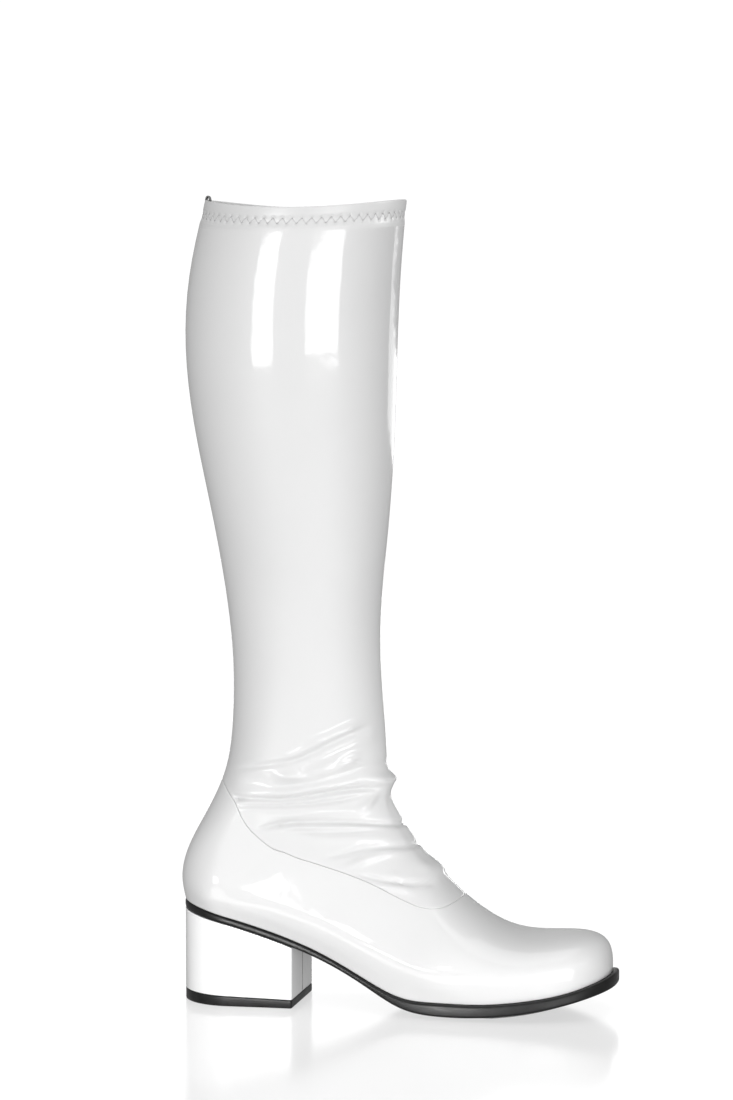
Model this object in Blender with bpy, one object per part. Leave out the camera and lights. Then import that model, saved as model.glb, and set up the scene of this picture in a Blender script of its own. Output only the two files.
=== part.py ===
"""Right knee-high boot with a chunky block heel, built as separate pieces.

The boot is drawn in its own frame: x runs from the heel back to the toe, y from the outer (lateral)
side at minus to the inner (medial) side at plus, z up from the floor. A root empty then moves the
whole boot so that the origin lies under the middle of its box.
"""

import math
from collections import namedtuple

import bmesh
import bpy
import numpy as np

MM = 0.001

# Driving dimensions
UPPER_LENGTH = 254.2 * MM  # heel back to toe tip of the upper, at the feather line
HEEL_RADIUS = 30 * MM  # round back of the heel seat
HEEL_LENGTH = 70 * MM  # heel back to heel breast
HEEL_INSET = 0.2 * MM  # the heel stands this far inside the edge of the outsole
LIFT_BACK = 6.4 * MM
LIFT_FRONT = 4.7 * MM
SHAFT_WALL = 1.4 * MM
FOOT_WALL = 1.8 * MM
INSOLE_HEIGHT = 2.5 * MM
INSOLE_TOE = 1.2 * MM  # the insole thins to this towards the toe
INSOLE_TAPER = 150 * MM
INSOLE_INSET = 2.2 * MM  # room between the insole's edge and the upper's wall
GAP = 0.3 * MM  # clearance between pieces that meet
SEAM_GAP = 0.4 * MM  # clearance between upper and shaft along their seam

# The toe is closed by superellipses, one in plan and one in profile, from these places forward
TOE_PLAN_START = 200 * MM
TOE_PLAN_POWER = 2.5
TOE_TOP_START = 212 * MM
TOE_TOP_POWER = 3.3
TOE_CROWDING = 0.02  # how closely the grid's rows crowd at the toe tip

# The heel counter swells from the feather line to its full width within this height
COUNTER_RISE = 14 * MM

# Edges and collar
SOLE_EDGE = 1.6 * MM  # rounding of the outsole's edge
TREAD_INSET = 12 * MM  # the tread lies this far inside the edge
LIFT_EDGE = 0.6 * MM
COLLAR_DIP = 4.5 * MM  # the top line dips this far at the sides
HEM_HEIGHT = 12 * MM
HEM_STEP = 0.5 * MM  # the folded hem stands this far proud of the shaft

# Sole lines and feather outline in millimetres, from heel to toe. bottom is the height of the outsole's
# lower edge, crown is how far its tread lies below that edge, and height is its thickness. The half widths
# are those of the outline before heel and toe are rounded off. ledge is how far the outsole stands out past
# the upper.
SoleRow = namedtuple("SoleRow", "x bottom crown height lateral medial ledge")
SOLE_ROWS = [
    SoleRow(x=0, bottom=54.9, crown=0.0, height=4.9, lateral=29.5, medial=29.5, ledge=0.2),
    SoleRow(x=30, bottom=48.5, crown=0.0, height=4.2, lateral=29.8, medial=29.5, ledge=0.2),
    SoleRow(x=60, bottom=39.5, crown=0.0, height=4.3, lateral=29.0, medial=27.2, ledge=0.4),
    SoleRow(x=90, bottom=28.2, crown=0.4, height=3.9, lateral=30.0, medial=26.0, ledge=0.8),
    SoleRow(x=115, bottom=15.5, crown=1.4, height=4.0, lateral=33.5, medial=27.5, ledge=1.4),
    SoleRow(x=137, bottom=4.8, crown=2.2, height=5.8, lateral=38.5, medial=33.0, ledge=2.2),
    SoleRow(x=158, bottom=1.8, crown=1.9, height=7.4, lateral=42.0, medial=39.0, ledge=2.6),
    SoleRow(x=187, bottom=2.4, crown=2.5, height=7.1, lateral=43.0, medial=43.0, ledge=2.8),
    SoleRow(x=210, bottom=5.1, crown=2.2, height=6.8, lateral=41.0, medial=42.5, ledge=3.2),
    SoleRow(x=235, bottom=10.3, crown=1.6, height=6.4, lateral=38.5, medial=40.5, ledge=3.2),
    SoleRow(x=258, bottom=16.7, crown=1.0, height=7.9, lateral=35.5, medial=38.0, ledge=3.8),
]

# Sections of the last in millimetres, from toe to collar. Each is a plane through a front point on the
# ridge of the foot or shin, and a back point on the sole or on the back of the heel and calf.
# lateral and medial are the half widths, widest is the share of the way from front to back where they
# lie, and ridge is how far the front point leans to the inner side.
Section = namedtuple("Section", "front_x front_z back_x back_z lateral medial widest ridge")
ON_SOLE = None
SECTIONS = [
    Section(254.2, 51.6, 254.2, ON_SOLE, 37.5, 40.0, 0.58, 2.0),
    Section(237, 48.0, 237, ON_SOLE, 40.0, 42.0, 0.58, 3.0),
    Section(215, 45.8, 215, ON_SOLE, 42.5, 43.5, 0.59, 3.5),
    Section(189, 49.8, 189, ON_SOLE, 45.0, 45.0, 0.62, 4.0),
    Section(163, 68.0, 160, ON_SOLE, 44.0, 42.0, 0.70, 3.5),
    Section(146.5, 86.3, 128, ON_SOLE, 38.5, 36.5, 0.76, 2.5),
    Section(136.4, 99.6, 92, ON_SOLE, 34.5, 33.5, 0.78, 1.5),
    Section(129.6, 110.4, 57, ON_SOLE, 33.3, 33.0, 0.78, 0.7),
    Section(125.4, 118.0, 27, ON_SOLE, 32.8, 32.8, 0.78, 0.2),
    Section(123.1, 123.6, 7, ON_SOLE, 32.6, 32.6, 0.775, 0.0),
    Section(121.9, 128.2, 0, ON_SOLE, 32.5, 32.5, 0.77, 0.0),
    Section(121.3, 133.2, -1.8, 71.0, 32.5, 32.5, 0.76, 0.0),
    Section(120.9, 140.0, 1.3, 88.0, 32.5, 32.5, 0.73, 0.0),
    Section(120.2, 150.0, 12.5, 110.0, 32.8, 32.8, 0.68, 0.0),
    Section(119.2, 165.0, 24.3, 136.0, 33.3, 33.3, 0.62, 0.0),
    Section(117.5, 186.0, 29.0, 166.0, 34.0, 34.0, 0.56, 0.0),
    Section(116.3, 214.0, 29.3, 202.0, 35.5, 35.5, 0.52, 0.0),
    Section(117.8, 247.0, 25.3, 241.0, 38.8, 38.8, 0.50, 0.0),
    Section(121.7, 288.0, 17.1, 287.0, 43.5, 43.5, 0.50, 0.0),
    Section(124.6, 335.0, 7.3, 335.0, 48.0, 48.0, 0.50, 0.0),
    Section(126.1, 382.0, 1.7, 382.0, 51.0, 51.0, 0.50, 0.0),
    Section(128.1, 428.0, 4.2, 428.0, 51.5, 51.5, 0.50, 0.0),
    Section(131.6, 470.0, 13.5, 470.0, 50.0, 50.0, 0.50, 0.0),
]
HEEL_ROW = 10  # the section that ends on the feather line at the heel back
TOP_ROW = len(SECTIONS) - 1

# The seam between upper and shaft, from the ridge round to the heel back. around is how far round the boot
# each point lies, from 0 at the ridge to 1 at the heel back, and row is the section it crosses. toe is how far
# round the toe the grid line lies that ends at this point.
SeamRow = namedtuple("SeamRow", "around row toe")
SEAM_ROWS = [
    SeamRow(around=0.0000, row=3.852, toe=0.000),
    SeamRow(around=0.0878, row=3.881, toe=0.063),
    SeamRow(around=0.1795, row=3.956, toe=0.132),
    SeamRow(around=0.2795, row=4.122, toe=0.208),
    SeamRow(around=0.3762, row=4.463, toe=0.285),
    SeamRow(around=0.4359, row=4.901, toe=0.353),
    SeamRow(around=0.4715, row=5.325, toe=0.405),
    SeamRow(around=0.4959, row=5.733, toe=0.445),
    SeamRow(around=0.5160, row=6.139, toe=0.479),
    SeamRow(around=0.5345, row=6.547, toe=0.511),
    SeamRow(around=0.5510, row=6.968, toe=0.543),
    SeamRow(around=0.5655, row=7.414, toe=0.576),
    SeamRow(around=0.5775, row=7.911, toe=0.610),
    SeamRow(around=0.5868, row=8.513, toe=0.645),
    SeamRow(around=0.5931, row=9.660, toe=0.685),
    SeamRow(around=0.6242, row=10.855, toe=0.729),
    SeamRow(around=0.6583, row=11.699, toe=0.776),
    SeamRow(around=0.6973, row=12.441, toe=0.819),
    SeamRow(around=0.7432, row=13.049, toe=0.859),
    SeamRow(around=0.8008, row=13.434, toe=0.897),
    SeamRow(around=0.8654, row=13.683, toe=0.932),
    SeamRow(around=0.9323, row=13.791, toe=0.967),
    SeamRow(around=1.0000, row=13.820, toe=1.000),
]
SEAM_END = len(SEAM_ROWS) - 1

# Folds of the shaft over the ankle, seen from the side, in millimetres. Each runs from a back point through
# a height halfway to a front point. swell is its height halfway along, nose its height at the front, and both
# are minus for a trough. spread is its half width.
Fold = namedtuple("Fold", "back_x back_z mid_z front_x front_z swell nose spread")
FOLDS = [
    Fold(38, 136.5, 146.5, 117, 168.0, -0.9, -0.6, 5.0),
    Fold(45, 128.0, 129.0, 122, 131.5, 0.8, 4.6, 4.5),
    Fold(28, 122.4, 122.2, 121, 126.0, -1.1, -1.0, 3.6),
    Fold(50, 113.0, 114.5, 126, 116.5, 0.9, 0.3, 4.0),
    Fold(48, 107.0, 107.8, 130, 107.5, -1.1, -0.9, 3.6),
    Fold(84, 88.5, 92.0, 139, 95.5, -0.9, -0.6, 4.0),
    Fold(118, 84.0, 83.0, 156, 78.5, 0.5, 2.6, 4.5),
]
FOLD_TOP_ROW = 14.6  # the folds end below this section


def spline(knots, values):
    """Natural cubic spline through a table's column, as a function."""
    knots = np.asarray(knots, float)
    values = np.asarray(values, float)
    steps = np.diff(knots)
    slopes = np.diff(values) / steps
    matrix = np.eye(len(knots))
    right = np.zeros(len(knots))
    for i in range(1, len(knots) - 1):
        matrix[i, i - 1] = steps[i - 1]
        matrix[i, i] = 2 * (steps[i - 1] + steps[i])
        matrix[i, i + 1] = steps[i]
        right[i] = 6 * (slopes[i] - slopes[i - 1])
    bends = np.linalg.solve(matrix, right)

    def at(where):
        where = np.asarray(where, float)
        i = np.clip(np.searchsorted(knots, where, side="right") - 1, 0, len(steps) - 1)
        step = steps[i]
        near = where - knots[i]
        far = knots[i + 1] - where
        curve = (bends[i] * far**3 + bends[i + 1] * near**3) / (6 * step)
        start = (values[i] / step - bends[i] * step / 6) * far
        end = (values[i + 1] / step - bends[i + 1] * step / 6) * near
        return curve + start + end

    return at


def sole_column(name):
    return spline([row.x * MM for row in SOLE_ROWS], [getattr(row, name) * MM for row in SOLE_ROWS])


sole_edge_line = sole_column("bottom")
sole_crown = sole_column("crown")
sole_height = sole_column("height")
sole_lateral = sole_column("lateral")
sole_medial = sole_column("medial")
sole_ledge = sole_column("ledge")


def sole_edge(x):
    """Height of the outsole's lower edge."""
    return sole_edge_line(np.maximum(x, 0.0))


def sole_tread(x):
    """Height of the tread, which is flat on the floor under the ball."""
    x = np.maximum(x, 0.0)
    return np.maximum(sole_edge_line(x) - sole_crown(x), 0.0)


def sole_top(x):
    x = np.maximum(x, 0.0)
    return sole_edge_line(x) + sole_height(x)


def toe_close(x, start, power):
    """Falls from 1 at start to 0 at the toe tip."""
    share = np.clip((x - start) / (UPPER_LENGTH - start), 0.0, 1.0)
    return (1.0 - share**power) ** (1.0 / power)


def heel_close(x):
    """Rises from 0 at the heel back to 1 where the heel's round back ends."""
    share = np.clip(1.0 - x / HEEL_RADIUS, 0.0, 1.0)
    return np.sqrt(1.0 - share**2)


def feather(x):
    """Half widths of the line where the upper meets the sole."""
    close = toe_close(x, TOE_PLAN_START, TOE_PLAN_POWER) * heel_close(x)
    return sole_lateral(x) * close, sole_medial(x) * close


def section_column(name, first=0, last=TOP_ROW):
    rows = SECTIONS[first : last + 1]
    return spline(range(first, last + 1), [getattr(row, name) for row in rows])


front_x = section_column("front_x")
front_z = section_column("front_z")
lateral_width = section_column("lateral")
medial_width = section_column("medial")
widest_share = section_column("widest")
ridge_lean = section_column("ridge")
sole_back_x = section_column("back_x", 0, HEEL_ROW)
BACK_Z = [sole_top(row.back_x * MM) / MM if row.back_z is ON_SOLE else row.back_z for row in SECTIONS]
calf_back_z = spline(range(HEEL_ROW, TOP_ROW + 1), BACK_Z[HEEL_ROW:])
heel_line = spline(BACK_Z[HEEL_ROW:], [row.back_x for row in SECTIONS[HEEL_ROW:]])
rail_x = section_column("back_x")
rail_z = spline(range(TOP_ROW + 1), BACK_Z)
seam_around = spline(range(SEAM_END + 1), [row.around for row in SEAM_ROWS])
seam_row = spline(range(SEAM_END + 1), [row.row for row in SEAM_ROWS])
toe_around = spline(range(SEAM_END + 1), [row.toe for row in SEAM_ROWS])


def smooth(share):
    """An even rise from 0 to 1."""
    share = np.clip(share, 0.0, 1.0)
    return share * share * (3 - 2 * share)


def heel_half_width(x, z, side, width):
    """Half width of the heel counter, round in plan at its back."""
    outline = np.where(side < 0, sole_lateral(x), sole_medial(x))
    rise = np.clip((z - sole_top(x)) / COUNTER_RISE, 0.0, 1.0)
    full = outline + (width - outline) * rise * (2 - rise)
    reach = (x - heel_line((z - GAP) / MM) * MM) / HEEL_RADIUS
    return reach, full * np.sqrt(1 - np.clip(1 - reach, 0.0, 1.0) ** 2)


def last_surface(row, around):
    """Points of the boot's outer surface.

    row runs along the table of sections, from 0 at the toe tip to TOP_ROW at the collar. around runs
    from -1 (lateral feather or back) through 0 (ridge) to 1 (medial feather or back).
    """
    row, around = np.broadcast_arrays(np.asarray(row, float), np.asarray(around, float))
    side = np.where(around < 0, -1.0, 1.0)
    column = np.abs(around)
    on_sole = row <= HEEL_ROW
    sole_row = np.minimum(row, HEEL_ROW)
    calf_row = np.maximum(row, HEEL_ROW)

    calf_z = calf_back_z(calf_row)
    back_x = np.where(on_sole, np.maximum(sole_back_x(sole_row), 0.0), heel_line(calf_z)) * MM
    seat_x = np.clip(back_x, 0.0, UPPER_LENGTH)
    back_z = np.where(on_sole, sole_top(seat_x), calf_z * MM) + GAP
    close_plan = toe_close(seat_x, TOE_PLAN_START, TOE_PLAN_POWER)
    close_top = toe_close(seat_x, TOE_TOP_START, TOE_TOP_POWER)
    ridge_x = front_x(row) * MM
    ridge_z = back_z + (front_z(row) * MM + GAP - back_z) * close_top
    ridge_y = ridge_lean(row) * MM * close_plan

    feather_lateral, feather_medial = feather(seat_x)
    feather_width = np.where(side < 0, feather_lateral, feather_medial)
    feather_width = np.where(on_sole, feather_width, 0.0)
    width = np.where(side < 0, lateral_width(row), medial_width(row)) * MM * close_plan
    width = np.maximum(width, feather_width)

    # In front of the widest place the section is a quarter ellipse, behind it an ellipse cut at the sole
    widest = widest_share(row)
    cut = np.maximum(np.arccos(np.clip(feather_width / np.maximum(width, 1e-9), 0.0, 1.0)), 1e-4)
    turn = np.clip(column / widest, 0.0, 1.0) * math.pi / 2
    cut_turn = np.clip((column - widest) / (1 - widest), 0.0, 1.0) * cut
    in_front = column <= widest
    past = widest + (1 - widest) * np.sin(cut_turn) / np.sin(cut)
    share = np.where(in_front, widest * (1 - np.cos(turn)), past)
    out = np.where(in_front, np.sin(turn), np.cos(cut_turn))

    # Above the heel the front of each section points at a rail that has no corner at the heel seat
    ease = smooth((row - 6) / 1.5) * (1 - smooth((column - widest) / (1 - widest)))
    aim_x = back_x + (rail_x(row) * MM - back_x) * ease
    aim_z = back_z + (rail_z(row) * MM + GAP - back_z) * ease
    x = ridge_x + (aim_x - ridge_x) * share
    z = ridge_z + (aim_z - ridge_z) * share
    lean = np.where(in_front, ridge_y * (1 - np.sin(turn)), 0.0)
    y = lean + side * width * out

    # The sections crowd together at the heel seat, so the counter is rounded in plan there instead
    reach, heel_half = heel_half_width(x, z, side, width)
    near_heel = (1 - smooth((reach - 0.55) / 0.5)) * smooth(row - 7) * (1 - smooth((row - 11) / 2))
    y = y + (side * heel_half - y) * near_heel
    dip = COLLAR_DIP * np.clip((row - (TOP_ROW - 2)) / 2, 0.0, 1.0) ** 2
    z = z - dip * np.sin(np.minimum(column, 1.0) * math.pi) ** 2
    return np.stack([x, y, z], axis=-1)


def surface_normal(row, around):
    """Outward unit normal of the outer surface, by small differences."""
    step_row = 0.02
    step_around = 0.004
    low_row = np.clip(row - step_row, 0.02, TOP_ROW)
    high_row = np.clip(row + step_row, 0.02, TOP_ROW)
    along = last_surface(high_row, around) - last_surface(low_row, around)
    low_around = np.clip(around - step_around, -1.0, 1.0)
    high_around = np.clip(around + step_around, -1.0, 1.0)
    across = last_surface(row, high_around) - last_surface(row, low_around)
    normal = np.cross(across, along)
    return normal / np.maximum(np.linalg.norm(normal, axis=-1, keepdims=True), 1e-12)


def seam_columns(columns):
    """Places along the seam, from the lateral heel back round the front to the medial heel back."""
    along = np.linspace(-SEAM_END, SEAM_END, 2 * columns + 1)
    return np.sign(along), np.abs(along)


def upper_grid(rows, columns):
    """Outer surface of the foot part, from the toe tip to the seam."""
    side, along_seam = seam_columns(columns)
    seam = seam_row(along_seam)
    heel = HEEL_ROW / seam[0]
    counter = rows // 4
    step = np.linspace(0.0, 1.0, rows - counter, endpoint=False)
    foot_rows = heel * step**3 / (step**2 + TOE_CROWDING * (1 - step**2))
    counter_rows = np.linspace(heel, 1.0, counter)
    share = np.concatenate([foot_rows, counter_rows])[:, None]
    toe = toe_around(along_seam)
    around = side * (toe + (seam_around(along_seam) - toe) * share)
    return last_surface(seam * share, np.clip(around, -1.0, 1.0))


def shaft_edge(side, along_seam):
    """Section and place round the boot of the shaft's lower edge, a clearance away across the seam."""
    side = np.where(side < 0, -1.0, 1.0)
    step = 0.01
    row = seam_row(along_seam)
    around = side * np.clip(seam_around(along_seam), 0.0, 1.0)

    def at(shift):
        place = np.clip(along_seam + shift, 0.0, SEAM_END)
        return last_surface(seam_row(place), side * seam_around(place))

    inward = np.where(np.abs(around) < 0.5, step, -step) * side
    by_row = (last_surface(row + step, around) - last_surface(row, around)) / step
    by_around = (last_surface(row, around + inward) - last_surface(row, around)) / inward[:, None]
    across = np.cross(surface_normal(row, around), at(step) - at(-step)) * side[:, None]
    across *= SEAM_GAP / np.linalg.norm(across, axis=-1, keepdims=True)
    moves = [
        np.linalg.lstsq(np.column_stack([a, b]), c, rcond=None)[0] for a, b, c in zip(by_row, by_around, across)
    ]
    moves = np.array(moves)
    moved = np.where(np.abs(around) % 1.0 == 0.0, around, around + moves[:, 1])
    return row + moves[:, 0], moved


def fold_height(points):
    """How far the folds lift each point of the shaft off the last."""
    x = points[..., 0] / MM
    z = points[..., 2] / MM
    lift = np.zeros(x.shape)
    for fold in FOLDS:
        along = np.clip((x - fold.back_x) / (fold.front_x - fold.back_x), 0.0, 1.0)
        ends = fold.back_z * (1 - along) * (1 - 2 * along) + fold.front_z * along * (2 * along - 1)
        line_z = ends + 4 * fold.mid_z * along * (1 - along)
        size = 4 * fold.swell * along * (1 - along) + fold.nose * along**4
        lift += size * smooth(along / 0.2) * np.exp(-(((z - line_z) / fold.spread) ** 2))
    return lift * MM


def shaft_grid(low_rows, high_rows, columns):
    """Outer surface of the shaft, from the seam to the collar, with its folds and its turned hem."""
    side, along_seam = seam_columns(columns)
    start, at_seam = shaft_edge(side, along_seam)
    at_collar = side * (along_seam / SEAM_END) ** 1.3
    hem_row = TOP_ROW - HEM_HEIGHT / MM / (SECTIONS[-1].front_z - SECTIONS[-2].front_z)
    low = np.linspace(0.0, 1.0, low_rows, endpoint=False)[:, None]
    level = np.zeros_like(start)[None, :]
    body = np.linspace(FOLD_TOP_ROW, hem_row, high_rows)[:, None] + level
    hem = np.linspace(hem_row + 0.02, TOP_ROW, 3)[:, None] + level
    row = np.concatenate([start + (FOLD_TOP_ROW - start) * low, body, hem])
    share = np.clip((row - start) / (FOLD_TOP_ROW - start), 0.0, 1.0)
    around = at_seam + (at_collar - at_seam) * share
    points = last_surface(row, around)
    lift = fold_height(points) * smooth((row - start) / 0.6)
    lift[-len(hem) :] += HEM_STEP
    return points + surface_normal(row, around) * lift[..., None]


def surface_material(name, colour, roughness):
    material = bpy.data.materials.new(name)
    material.use_nodes = True
    shader = material.node_tree.nodes["Principled BSDF"]
    shader.inputs["Base Color"].default_value = (*colour, 1.0)
    shader.inputs["Roughness"].default_value = roughness
    return material


def add_object(name, points, faces, material):
    """A mesh object with coincident points made one."""
    mesh = bpy.data.meshes.new(name)
    mesh.from_pydata([tuple(point) for point in points], [], faces)
    shape = bmesh.new()
    shape.from_mesh(mesh)
    bmesh.ops.remove_doubles(shape, verts=shape.verts, dist=0.01 * MM)
    bmesh.ops.dissolve_degenerate(shape, edges=shape.edges, dist=0.005 * MM)
    bmesh.ops.triangulate(shape, faces=shape.faces, quad_method="SHORT_EDGE")
    shape.to_mesh(mesh)
    shape.free()
    mesh.materials.append(material)
    thing = bpy.data.objects.new(name, mesh)
    bpy.context.scene.collection.objects.link(thing)
    return thing


def add_shell(name, grid, wall, material):
    """A thin wall whose outer face is the grid."""
    rows, columns = grid.shape[:2]
    faces = []
    for i in range(rows - 1):
        for j in range(columns - 1):
            at = i * columns + j
            faces.append((at, at + 1, at + columns + 1, at + columns))
    thing = add_object(name, grid.reshape(-1, 3), faces, material)
    solidify = thing.modifiers.new("wall", "SOLIDIFY")
    solidify.thickness = wall
    solidify.offset = -1.0
    return thing


def side_lines(stations, out, front_x_fixed=None):
    """Lateral and medial lines of the outline, moved out by the given amounts."""
    lateral_half, medial_half = feather(stations)
    lines = []
    for side, half in ((-1.0, lateral_half), (1.0, medial_half)):
        line = np.stack([stations, side * half], axis=-1)
        travel = np.gradient(line, axis=0)
        normal = np.stack([-travel[:, 1], travel[:, 0]], axis=-1) * -side
        normal /= np.linalg.norm(normal, axis=-1, keepdims=True)
        normal[-1] = (-1.0, 0.0)
        if front_x_fixed is None:
            normal[0] = (1.0, 0.0)
        line = line + normal * np.asarray(out)[:, None]
        if front_x_fixed is not None:
            line[0, 0] = front_x_fixed
        lines.append(line)
    return lines


def add_slab(name, levels, material):
    """A solid from stacked outlines. Each level is a pair of side lines and the heights along them."""
    points = []
    for (lateral, medial), height in levels:
        loop = np.concatenate([lateral, medial[::-1]])
        points.append(np.column_stack([loop, height(loop[:, 0])]))
    count = len(points[0])
    last = count - 1
    faces = []
    for level in range(len(levels) - 1):
        for j in range(count):
            near = level * count + j
            far = level * count + (j + 1) % count
            faces.append((near, near + count, far + count, far))
    above = (len(levels) - 1) * count
    for j in range(count // 2 - 1):
        faces.append((j, j + 1, last - j - 1, last - j))
        faces.append((above + last - j, above + last - j - 1, above + j + 1, above + j))
    return add_object(name, np.concatenate(points), faces, material)


def sole_stations(count):
    """Places along the whole outline, closer together at heel and toe."""
    return UPPER_LENGTH * (1 + np.cos(np.linspace(0.0, math.pi, count))) / 2


def heel_stations(count):
    """Places from the heel breast to the heel back, closer together at the back."""
    return HEEL_LENGTH * (1 - np.sin(np.linspace(0.0, math.pi / 2, count)))


def add_outsole(material):
    stations = sole_stations(36)
    ledge = sole_ledge(stations)

    def lower(x):
        return sole_edge(x) + SOLE_EDGE

    def upper(x):
        return sole_top(x) - SOLE_EDGE

    tread = side_lines(stations, ledge - TREAD_INSET)
    inner = side_lines(stations, ledge - SOLE_EDGE)
    outer = side_lines(stations, ledge)
    levels = [(tread, sole_tread), (inner, sole_edge), (outer, lower), (outer, upper), (inner, sole_top)]
    return add_slab("outsole", levels, material)


def lift_top(x):
    """Height of the top lift, which is thicker at the back."""
    return LIFT_BACK + (LIFT_FRONT - LIFT_BACK) * np.clip(x / HEEL_LENGTH, 0.0, 1.0)


def add_heel_block(material):
    stations = heel_stations(18)
    lines = side_lines(stations, sole_ledge(stations) - HEEL_INSET, HEEL_LENGTH)

    def foot(x):
        return lift_top(x) + GAP

    def seat(x):
        return sole_tread(x) - GAP

    return add_slab("heel_block", [(lines, foot), (lines, seat)], material)


def add_top_lift(material):
    stations = heel_stations(18)
    out = sole_ledge(stations) - HEEL_INSET
    inner = side_lines(stations, out - LIFT_EDGE, HEEL_LENGTH - LIFT_EDGE)
    outer = side_lines(stations, out, HEEL_LENGTH)

    def foot(x):
        return np.zeros_like(x)

    def edge(x):
        return np.full_like(x, LIFT_EDGE)

    return add_slab("top_lift", [(inner, foot), (outer, edge), (outer, lift_top)], material)


def add_insole(material):
    stations = sole_stations(30)
    lines = side_lines(stations, np.full_like(stations, -(FOOT_WALL + INSOLE_INSET)))

    def bottom(x):
        return sole_top(x) + GAP

    def top(x):
        thin = smooth((x - INSOLE_TAPER) / (UPPER_LENGTH - INSOLE_TAPER) * 1.4)
        return sole_top(x) + GAP + INSOLE_HEIGHT + (INSOLE_TOE - INSOLE_HEIGHT) * thin

    return add_slab("insole", [(lines, bottom), (lines, top)], material)


def set_on_origin(things):
    """Parents every piece to a root that brings the box's bottom centre to the origin."""
    corners = np.array([point.co[:] for thing in things for point in thing.data.vertices])
    low = corners.min(axis=0)
    high = corners.max(axis=0)
    root = bpy.data.objects.new("boot", None)
    bpy.context.scene.collection.objects.link(root)
    root.location = (-(low[0] + high[0]) / 2, -(low[1] + high[1]) / 2, -low[2])
    for thing in things:
        thing.parent = root


def build():
    for thing in list(bpy.data.objects):
        bpy.data.objects.remove(thing, do_unlink=True)
    patent = surface_material("white_patent", (0.86, 0.86, 0.86), 0.12)
    rubber = surface_material("black_rubber", (0.012, 0.012, 0.012), 0.35)
    sock = surface_material("sock_lining", (0.72, 0.71, 0.69), 0.7)
    things = [
        add_outsole(rubber),
        add_heel_block(patent),
        add_top_lift(rubber),
        add_insole(sock),
        add_shell("upper", upper_grid(29, 22), FOOT_WALL, patent),
        add_shell("shaft", shaft_grid(18, 7, 22), SHAFT_WALL, patent),
    ]
    set_on_origin(things)


build()
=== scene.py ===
"""Looks of the knee-high boot: fine surfaces, folds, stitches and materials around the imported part.

The boot is drawn in its own frame, as in the part's source: x runs from the heel back to the toe, y from
the outer (lateral) side at minus to the inner (medial) side at plus, z up from the floor. Every piece is
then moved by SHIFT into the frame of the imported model.
"""

import math
from collections import namedtuple

import bmesh
import bpy
import numpy as np
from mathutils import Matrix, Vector


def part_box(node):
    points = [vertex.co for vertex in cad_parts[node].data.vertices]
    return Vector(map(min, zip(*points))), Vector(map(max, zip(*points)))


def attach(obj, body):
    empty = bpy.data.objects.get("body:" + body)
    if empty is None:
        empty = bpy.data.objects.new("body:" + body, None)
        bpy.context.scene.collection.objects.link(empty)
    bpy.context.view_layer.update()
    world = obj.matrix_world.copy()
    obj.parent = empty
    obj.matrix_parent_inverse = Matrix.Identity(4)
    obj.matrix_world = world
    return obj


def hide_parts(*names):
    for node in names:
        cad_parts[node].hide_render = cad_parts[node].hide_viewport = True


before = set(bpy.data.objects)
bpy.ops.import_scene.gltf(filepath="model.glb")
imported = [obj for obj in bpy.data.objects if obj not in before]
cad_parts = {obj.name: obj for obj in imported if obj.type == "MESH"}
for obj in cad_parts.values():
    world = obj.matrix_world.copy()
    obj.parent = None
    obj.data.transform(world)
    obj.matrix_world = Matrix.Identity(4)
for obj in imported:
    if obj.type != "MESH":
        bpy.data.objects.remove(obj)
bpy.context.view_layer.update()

MM = 0.001

# Sizes shared with the part's source
UPPER_LENGTH = 254.2 * MM
HEEL_RADIUS = 30 * MM
HEEL_LENGTH = 70 * MM
HEEL_INSET = 0.2 * MM
LIFT_BACK = 6.4 * MM
LIFT_FRONT = 4.7 * MM
SHAFT_WALL = 1.4 * MM
FOOT_WALL = 1.8 * MM
GAP = 0.3 * MM
TOE_PLAN_START = 200 * MM
TOE_PLAN_POWER = 2.5
TOE_TOP_START = 212 * MM
TOE_TOP_POWER = 3.3
TOE_CROWDING = 0.02
COUNTER_RISE = 14 * MM
SOLE_EDGE = 1.6 * MM
TREAD_INSET = 12 * MM
LIFT_EDGE = 0.6 * MM
COLLAR_DIP = 4.5 * MM
COLLAR_DIP_ROWS = 2
RAIL_ROW = 6  # from this section on the fronts turn to the rail,
RAIL_ROWS = 1.5  # over this many sections
ROUND_REACH = 0.55  # the counter is round in plan up to this share of the heel's radius
ROUND_FADE = 0.5
ROUND_FIRST_ROW = 7
ROUND_LAST_ROW = 11
ROUND_LAST_ROWS = 2  # the rounding dies out over this many sections

# Seam between upper and shaft
SEAM_GAP = 0.1 * MM
SEAM_ROLL = 1.1 * MM  # width of the rounded edges on both sides of the seam
SEAM_DEPTH = 0.32 * MM
SEAM_STEPS = (2.6, 1.9, 1.3, 0.9, 0.55, 0.25, 0.0)  # the grid's rows lie this far from the seam, in mm

# Hem, with its zig-zag row of stitches and the tape over its rim
HEM_BAND = 15 * MM  # height of the finely meshed band at the top
HEM_DRAW = 0.6 * MM  # how far the stitches draw the hem in
HEM_DRAW_SPREAD = 2.8 * MM
HEM_FADE = 4 * MM  # the draw dies out over this height at the band's lower edge
DIMPLE_DEPTH = 0.5 * MM  # the dimple at each needle hole
DIMPLE_SPREAD = 1.0 * MM
STITCH_TOP = 6.5 * MM  # the zig-zag row lies between these depths below the top line
STITCH_LOW = 10.3 * MM
STITCH_STEP = 2.8 * MM
STITCH_RADIUS = 0.2 * MM
STITCH_ARCH = 0.3 * MM  # how far the middle of a stitch stands above its ends
TAB_DEPTH = 9 * MM
TAB_RISE = 2.8 * MM
TAB_WIDTH = 5 * MM
TAB_THICK = 0.7 * MM
TAB_ROOM = 0.1 * MM  # room between the tape and the hem
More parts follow.
